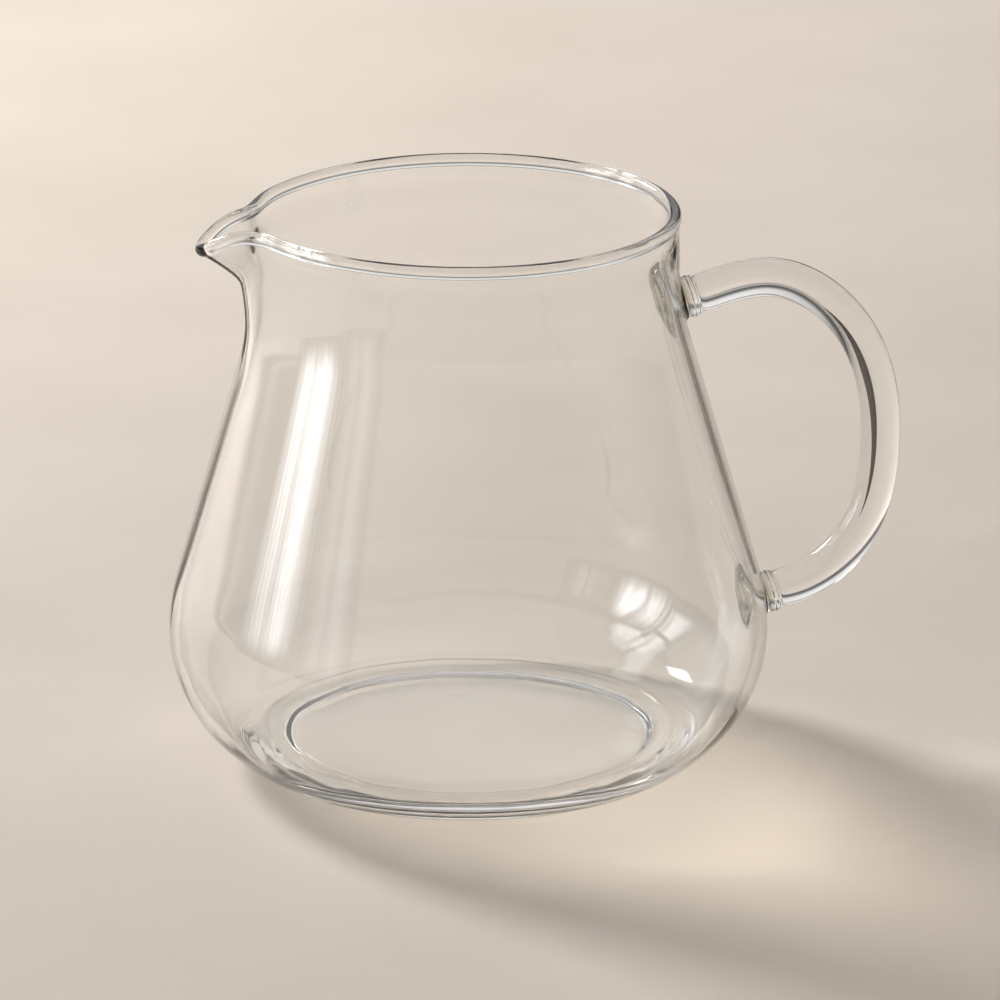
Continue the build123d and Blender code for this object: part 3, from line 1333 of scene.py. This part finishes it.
@dataclass
class HandleRod:
    """The bent solid rod between the two feet, in millimetres."""

    jug: JugSizes
    upper: JointSizes
    lower: JointSizes
    radius: float = 3.85
    waist: float = 3.62
    waist_run: float = 4.5
    seam_run: float = 0.4
    lead_end: float = 7.2
    reach: float = 80.9
    back_height: float = 57.0
    crest_reach: float = 58.8
    crest_rise: float = 3.4
    hip_reach: float = 74.2
    hip_drop: float = 6.0
    heel_reach: float = 74.6
    heel_rise: float = 9.0
    columns: int = 96
    rows: int = 240
    crowding: float = 0.85
    lobes: int = 5
    lobe_depth: float = 0.03
    lobe_start: float = 0.4
    lobe_twist: float = 0.02
    lobe_run: Span = (0.5, 7.0)

    def route(self) -> tuple[np.ndarray, np.ndarray, np.ndarray]:
        """Where the middle of the rod goes.

        Returns:
            Points that it goes through, from the upper seam to the lower one, and its directions at
            the two.
        """
        profile = OuterProfile(self.jug)
        top, top_way, _ = self.upper.axis(profile)
        low, low_way, _ = self.lower.axis(profile)
        points = [
            top + top_way * self.upper.seam_length,
            top + top_way * self.lead_end,
            (self.crest_reach, 0.0, self.upper.height + self.crest_rise),
            (self.hip_reach, 0.0, self.upper.height - self.hip_drop),
            (self.reach, 0.0, self.back_height),
            (self.heel_reach, 0.0, self.lower.height + self.heel_rise),
            low + low_way * self.lead_end,
            low + low_way * self.lower.seam_length,
        ]
        return np.array([tuple(p) for p in points]), top_way, -low_way

    def middle(self) -> tuple[np.ndarray, np.ndarray, np.ndarray]:
        """Middle line of the rod.

        It is the cubic spline through the route with a continuous second derivative, on the chord
        lengths, with the given directions at its ends: its slopes solve one linear system.

        Returns:
            Points, unit directions, and lengths from the start, closer together towards both ends.
        """
        points, start, end = self.route()
        chord = np.linalg.norm(np.diff(points, axis=0), axis=1)
        knot = np.concatenate([[0.0], np.cumsum(chord)])
        count = len(points)
        system = np.eye(count)
        target = np.zeros((count, 3))
        target[0], target[-1] = start, end
        inner = np.arange(1, count - 1)
        before, after = chord[:-1], chord[1:]
        system[inner, inner - 1] = after
        system[inner, inner] = 2 * (before + after)
        system[inner, inner + 1] = before
        slope = np.diff(points, axis=0) / chord[:, None]
        target[1:-1] = 3 * (after[:, None] * slope[:-1] + before[:, None] * slope[1:])
        way = np.linalg.solve(system, target)
        share = np.linspace(0.0, 1.0, self.rows)
        at = knot[-1] * (share - self.crowding * np.sin(2 * math.pi * share) / (2 * math.pi))
        piece = np.clip(np.searchsorted(knot, at, side="right") - 1, 0, count - 2)
        step = chord[piece][:, None]
        t = (at - knot[piece])[:, None] / step
        line = (
            (2 * t**3 - 3 * t**2 + 1) * points[piece]
            + (t**3 - 2 * t**2 + t) * step * way[piece]
            + (3 * t**2 - 2 * t**3) * points[piece + 1]
            + (t**3 - t**2) * step * way[piece + 1]
        )
        direction = unit(
            (6 * t**2 - 6 * t) / step * (points[piece] - points[piece + 1])
            + (3 * t**2 - 4 * t + 1) * way[piece]
            + (3 * t**2 - 2 * t) * way[piece + 1]
        )
        run = np.linalg.norm(np.diff(line, axis=0), axis=1)
        return line, direction, np.concatenate([[0.0], np.cumsum(run)])

    def build(self) -> bpy.types.Mesh:
        """Build the rod: rings square to the middle line, a little thinner towards both seams.

        The drawn rod isn't quite round: its radius is r (1 - depth (1 - cos(lobes t + twist s)) / 2), with
        the angle t and the length s, and the depth fades to nothing at both ends.

        Returns:
            The closed mesh, in metres.
        """
        line, direction, run = self.middle()
        from_end = np.minimum(run, run[-1] - run)
        radius = self.radius - (self.radius - self.waist) * np.exp(-from_end / self.waist_run)
        radius = radius - (self.waist - self.upper.seam_radius) * np.exp(-from_end / self.seam_run)
        turn = np.linspace(0.0, 2 * math.pi, self.columns + 1)[:-1]
        above = np.stack([-direction[:, 2], 0.0 * run, direction[:, 0]], axis=1)
        side = np.array([0.0, 1.0, 0.0])
        out = np.cos(turn)[None, :, None] * side + np.sin(turn)[None, :, None] * above[:, None, :]
        wave = np.cos(self.lobes * turn[None, :] + self.lobe_start + self.lobe_twist * run[:, None])
        dent = self.lobe_depth * ease(*self.lobe_run, from_end)[:, None] * (1.0 - wave) / 2
        parts = MeshParts()
        first = parts.add(line[:, None, :] + (radius[:, None] * (1.0 - dent))[..., None] * out)
        parts.join(grid_faces(first, len(line), self.columns, True))
        ends = parts.add(line[[0, -1]])
        ring = np.arange(self.columns)
        parts.join(fan_faces(ends, first + ring, True), Face.FUSED)
        parts.join(fan_faces(ends + 1, first + (len(line) - 1) * self.columns + ring, False), Face.FUSED)
        return parts.mesh("handle_rod_glass", sharp=True)

    def dress(self, glass: bpy.types.Material, fused: bpy.types.Material) -> bpy.types.Object:
        """Make the object, with its glass and the material of its fused ends."""
        return place_piece("rod", self.build(), (glass, fused), "handle_rod")


def flat_mesh(name: str, corners: Sequence[Triple], material: bpy.types.Material) -> bpy.types.Mesh:
    """Make a mesh of one flat face.

    Args:
        name: Name of the mesh.
        corners: Corners of the face, against the clock as seen from its front.
        material: Its material.

    Returns:
        The new mesh.
    """
    mesh = bpy.data.meshes.new(name)
    mesh.from_pydata(corners, [], [tuple(range(len(corners)))])
    mesh.materials.append(material)
    return mesh


def rectangle(wide: float, deep: float, height: float) -> list[Triple]:
    """Corners of a level rectangle round the Z axis, from half its width, half its depth and its height."""
    return [(-wide, -deep, height), (wide, -deep, height), (wide, deep, height), (-wide, deep, height)]


def for_glass_only(made: bpy.types.Object) -> None:
    """Stage an object that only the rays in or through the glass meet.

    Args:
        made: The object.
    """
    made.visible_camera = False
    made.visible_diffuse = False
    made.visible_shadow = False


@dataclass(frozen=True)
class Spot:
    """A place round the jug, in degrees: turn from the camera's right to its far side, and elevation."""

    turn: float
    elevation: float
    distance: float

    def way(self, azimuth: float) -> Vector:
        """Unit vector from the jug, for a camera at an azimuth in degrees."""
        turn, tilt = math.radians(self.turn - azimuth), math.radians(self.elevation)
        return Vector((math.cos(turn) * math.cos(tilt), math.sin(turn) * math.cos(tilt), math.sin(tilt)))


@dataclass(frozen=True)
class SoftLamp:
    """A rectangular lamp that looks at the jug, in metres and watts."""

    name: str
    spot: Spot
    size: Span
    watts: float
    aim_height: float = 0.05
    colour: Colour = (1.0, 0.975, 0.945)

    def build(self, azimuth: float) -> bpy.types.Object:
        """Build the lamp.

        Args:
            azimuth: Azimuth of the camera in degrees.

        Returns:
            The lamp object, which the camera doesn't see.
        """
        data = bpy.data.lights.new(self.name, "AREA")
        data.shape = "RECTANGLE"
        data.size, data.size_y = self.size
        data.energy = self.watts
        data.color = self.colour
        made = new_object(self.name, data)
        way = self.spot.way(azimuth)
        made.location = Vector((0.0, 0.0, self.aim_height)) + way * self.spot.distance
        made.rotation_mode = "QUATERNION"
        made.rotation_quaternion = way.to_track_quat("Z", "Y")
        made.visible_camera = False
        return made


@dataclass(frozen=True)
class Panel:
    """An upright glowing pane that shows in the glass, with soft edges, crossing bars and streaks."""

    name: str
    turn: float
    distance: float
    middle: float
    width: float
    height: float
    glow: float
    soft: Span
    panes: tuple[int, int] = (1, 1)
    bar: float = 0.0
    streaks: float = 0.0
    streak_count: float = 9.0
    streak_detail: float = 2.0
    streak_span: Span = (0.38, 0.6)
    colour: Colour = (0.93, 0.97, 1.0)

    def streaked(self, net: Net, across: Socket) -> Socket:
        """Upright streaks, from a noise along the pane's width.

        Args:
            net: Nodes of the material.
            across: Place along the width.

        Returns:
            Share of the glow that the streaks leave.
        """
        waves = net.node("ShaderNodeTexNoise")
        waves.noise_dimensions = "1D"
        waves.inputs["Scale"].default_value = self.streak_count / self.width
        waves.inputs["Detail"].default_value = self.streak_detail
        net.link(across, waves.inputs["W"])
        share = net.step(waves.outputs["Fac"], *self.streak_span)
        return net.rest(net.product(net.rest(share), self.streaks))

    def material(self) -> bpy.types.Material:
        """Build the emission: glow times a smooth step from each edge, the bars and the streaks.

        Returns:
            The new material.
        """
        made, net = new_material(self.name)
        x, y, _ = net.split(net.node("ShaderNodeTexCoord").outputs["Object"])
        level = net.value(self.glow)
        halves = (self.width / 2, self.height / 2)
        for along, half, soft, count in zip((x, y), halves, self.soft, self.panes):
            level = net.product(level, net.step(net.math("ABSOLUTE", along), half, half - soft))
            for number in range(1, count):
                place = half * (2 * number / count - 1)
                off = net.math("ABSOLUTE", net.math("SUBTRACT", along, place))
                level = net.product(level, net.step(off, self.bar / 4, self.bar))
        if self.streaks:
            level = net.product(level, self.streaked(net, x))
        shader = net.node("ShaderNodeEmission")
        shader.inputs["Color"].default_value = (*self.colour, 1.0)
        net.link(level, shader.inputs["Strength"])
        net.surface(shader.outputs["Emission"])
        return made

    def build(self, azimuth: float) -> bpy.types.Object:
        """Build the pane, which only the glass sees.

        Args:
            azimuth: Azimuth of the camera in degrees.

        Returns:
            The staged pane.
        """
        corners = rectangle(self.width / 2, self.height / 2, 0.0)
        made = new_object(self.name, flat_mesh(self.name, corners, self.material()))
        way = Spot(self.turn, 0.0, self.distance).way(azimuth)
        made.location = way * self.distance + Vector((0.0, 0.0, self.middle))
        made.rotation_mode = "QUATERNION"
        made.rotation_quaternion = way.to_track_quat("Z", "Y")
        for_glass_only(made)
        return made


@dataclass(frozen=True)
class DarkCard:
    """A dark card that shows as a line in the glass's edges, where light goes through one wall only.

    Its front is dark for rays that went into the glass and out once, and it is clear for all others. Its
    corners are (right, away, up) from the jug's foot in metres, seen from the card's front.
    """

    name: str
    corners: tuple[Triple, ...]
    colour: Colour = (0.05, 0.04, 0.03)
    pass_limit: float = 2.5

    def material(self) -> bpy.types.Material:
        """Build the dark front, by the number of glass faces that a ray has passed.

        Returns:
            The new material.
        """
        made, net = new_material(self.name)
        dark = net.node("ShaderNodeBsdfPrincipled")
        dark.inputs["Base Color"].default_value = (*self.colour, 1.0)
        passes = net.node("ShaderNodeLightPath").outputs["Transmission Depth"]
        front = net.rest(net.node("ShaderNodeNewGeometry").outputs["Backfacing"])
        shown = net.product(net.math("LESS_THAN", passes, self.pass_limit), front)
        net.surface(net.mixed(shown, net.clear(), dark.outputs["BSDF"]))
        return made

    def build(self, azimuth: float) -> bpy.types.Object:
        """Build the card, which only the glass sees.

        Args:
            azimuth: Azimuth of the camera in degrees.

        Returns:
            The staged card.
        """
        turn = math.radians(azimuth)
        sine, cosine = math.sin(turn), math.cos(turn)
        placed = [
            (right * cosine + away * sine, away * cosine - right * sine, up)
            for right, away, up in self.corners
        ]
        made = new_object(self.name, flat_mesh(self.name, placed, self.material()))
        for_glass_only(made)
        return made


@dataclass(frozen=True)
class Floor:
    """Plain pale floor just under the base, a little mottled, in metres."""

    half_side: float = 6.0
    drop: float = 0.0001
    mottle_scale: float = 14.0
    mottle_detail: float = 8.0
    mottle_span: Span = (0.3, 0.7)
    darker: Colour = (0.630, 0.562, 0.496)
    lighter: Colour = (0.676, 0.607, 0.538)
    roughness: float = 0.75

    def build(self) -> bpy.types.Object:
        """Build the floor.

        Returns:
            The staged floor.
        """
        material, net = new_material("pale_floor")
        where = net.node("ShaderNodeTexCoord").outputs["Object"]
        clouds = net.noise(where, self.mottle_scale, self.mottle_detail)
        shader = net.node("ShaderNodeBsdfPrincipled")
        net.link(net.ramp(clouds, self.darker, self.lighter, self.mottle_span), shader.inputs["Base Color"])
        shader.inputs["Roughness"].default_value = self.roughness
        net.surface(shader.outputs["BSDF"])
        corners = rectangle(self.half_side, self.half_side, -self.drop)
        made = new_object("floor", flat_mesh("floor", corners, material))
        return made


@dataclass(frozen=True)
class Room:
    """Light of the room, by direction: spans are of the direction's height or of its dot product."""

    brightest: Spot = Spot(150.0, 50.0, 1.0)
    bright_span: Span = (-0.6, 0.9)
    dim: Colour = (0.10, 0.085, 0.07)
    bright: Colour = (0.985, 0.975, 0.96)
    far_span: Span = (-0.35, 0.25)
    horizon_rise: Span = (-0.02, 0.03)
    horizon_fall: Span = (0.24, 0.06)
    horizon_depth: float = 0.85
    cornice_rise: Span = (0.50, 0.54)
    cornice_fall: Span = (0.62, 0.58)
    cornice_depth: float = 0.8
    near_fall: Span = (0.30, -0.02)
    near_colour: Colour = (0.60, 0.54, 0.48)
    strength: float = 0.95
    diffuse_loss: float = 0.45

    def build(self, azimuth: float) -> None:
        """Build the world: bright towards the window, with a dark horizon and a cornice's line.

        The horizon is dark on the far side only. The camera's side has the floor's colour low down.

        Args:
            azimuth: Azimuth of the camera in degrees.
        """
        world = bpy.data.worlds.new("room")
        world.use_nodes = True
        net = Net(world.node_tree)
        turn = math.radians(azimuth)
        look = net.node("ShaderNodeTexCoord").outputs["Generated"]
        _, _, z = net.split(look)
        along = net.measure("DOT_PRODUCT", look, self.brightest.way(azimuth))
        away = net.measure("DOT_PRODUCT", look, Vector((math.sin(turn), math.cos(turn), 0.0)))
        far = net.step(away, *self.far_span)
        horizon = net.product(net.band(z, self.horizon_rise, self.horizon_fall), self.horizon_depth, far)
        cornice = net.product(net.band(z, self.cornice_rise, self.cornice_fall), self.cornice_depth)
        room = net.ramp(net.step(along, *self.bright_span), self.dim, self.bright)
        near = net.product(net.rest(far), net.step(z, *self.near_fall))
        back = net.tree.nodes["Background"]
        net.link(net.blend(near, room, (*self.near_colour, 1.0)), back.inputs["Color"])
        diffuse = net.node("ShaderNodeLightPath").outputs["Is Diffuse Ray"]
        level = net.math("SUBTRACT", self.strength, net.product(diffuse, self.diffuse_loss))
        lines = net.math("ADD", horizon, cornice)
        net.link(net.product(net.rest(lines), level), back.inputs["Strength"])
        bpy.context.scene.world = world


@dataclass(frozen=True)
class ViewCamera:
    """Camera at the photograph's viewing angle, in millimetres and degrees, with its clip in metres."""

    focal: float = 288.0
    sensor: float = 36.0
    elevation: float = 18.02
    azimuth: float = 11.0
    distance: float = 1530.86
    target_height: float = 50.66
    side_step: float = 6.07
    clip: Span = (0.05, 50.0)

    def build(self) -> bpy.types.Object:
        """Build the camera.

        It stands at target - distance cos(elevation) forward + distance sin(elevation) up, and both are
        moved sideways by side_step.

        Returns:
            The camera object.
        """
        turn, tilt = math.radians(self.azimuth), math.radians(self.elevation)
        right = Vector((math.cos(turn), -math.sin(turn), 0.0))
        forward = Vector((math.sin(turn), math.cos(turn), 0.0))
        up = Vector((0.0, 0.0, 1.0))
        target = right * self.side_step + up * self.target_height
        back = up * math.sin(tilt) - forward * math.cos(tilt)
        data = bpy.data.cameras.new("view")
        data.lens, data.sensor_width = self.focal, self.sensor
        data.clip_start, data.clip_end = self.clip
        made = new_object("view", data)
        made.location = (target + back * self.distance) * MM
        made.rotation_mode = "QUATERNION"
        made.rotation_quaternion = (-back).to_track_quat("-Z", "Y")
        bpy.context.scene.camera = made
        return made


@dataclass(frozen=True)
class Studio:
    """Camera, floor and light round the object."""

    view: ViewCamera = ViewCamera()
    ground: Floor = Floor()
    room: Room = Room()
    key: SoftLamp = SoftLamp("key", Spot(134.0, 30.0, 1.5), (0.32, 0.32), 22.0)
    panels: tuple[Panel, ...] = (
        Panel("tall_pane", 190.0, 0.436, 0.17, 0.22, 0.32, 9.5, (0.06, 0.13), streaks=0.7),
        Panel("pale_pane", 216.0, 0.436, 0.15, 0.17, 0.36, 1.6, (0.05, 0.13), streaks=0.7),
        Panel("window", 176.5, 1.325, 0.76, 0.85, 1.15, 5.2, (0.16, 0.16), panes=(2, 2), bar=0.07),
    )
    cards: tuple[DarkCard, ...] = (
        DarkCard(
            "left_card",
            ((-0.235, 0.33, 0.0), (-0.079, 0.07, 0.0), (-0.067, 0.07, 0.085), (-0.232, 0.33, 0.02)),
        ),
        DarkCard(
            "right_card",
            ((0.098, 0.12, 0.0), (0.235, 0.33, 0.0), (0.234, 0.33, 0.02), (0.092, 0.12, 0.080)),
        ),
    )
    bounces: int = 24
    glossy_bounces: int = 12
    clear_bounces: int = 32

    def build(self) -> None:
        """Build the whole studio, turned with the camera, and set how light is traced in the glass."""
        self.view.build()
        self.ground.build()
        self.room.build(self.view.azimuth)
        self.key.build(self.view.azimuth)
        for staged in (*self.panels, *self.cards):
            staged.build(self.view.azimuth)
        scene = bpy.context.scene
        scene.view_settings.view_transform = "Standard"
        scene.cycles.max_bounces = self.bounces
        scene.cycles.transmission_bounces = self.bounces
        scene.cycles.glossy_bounces = self.glossy_bounces
        scene.cycles.transparent_max_bounces = self.clear_bounces
        scene.cycles.use_denoising = True


def main() -> None:
    """Build and dress the coffee server, report its pieces, and build the studio round it."""
    logging.basicConfig(level=logging.INFO, format="%(message)s")
    jug, lip = JugSizes(), LipShape()
    joints = (JointSizes("upper", 88.4, 15.0), JointSizes("lower", 28.0, 15.0))
    fused = FusedGlass().material()
    profile = OuterProfile(jug)
    places = [joint.axis(profile) for joint in joints]
    seals = tuple(Seal(Vector(centre * MM), Vector(way)) for centre, way, _ in places)
    blown = BlownGlass("blown_glass", seals, ring_height=0.0006).material()
    # the drawn glass has a band of painted shade next to the wall
    drawn = BlownGlass("drawn_glass", seals, joint_shade=(0.45, 0.43, 0.36), swirl_height=0.0).material()
    vessel = Vessel(jug, lip, joints)
    pieces = [vessel.dress(blown, fused)]
    for joint in joints:
        pieces.append(HandleFoot(jug, joint, vessel.footprints[joint.name]).dress(drawn, fused))
    pieces.append(HandleRod(jug, *joints).dress(drawn, fused))
    for piece in pieces:
        LOG.info("%s: %d faces", piece.name, len(piece.data.polygons))
    Studio().build()


if __name__ == "__main__":
    main()
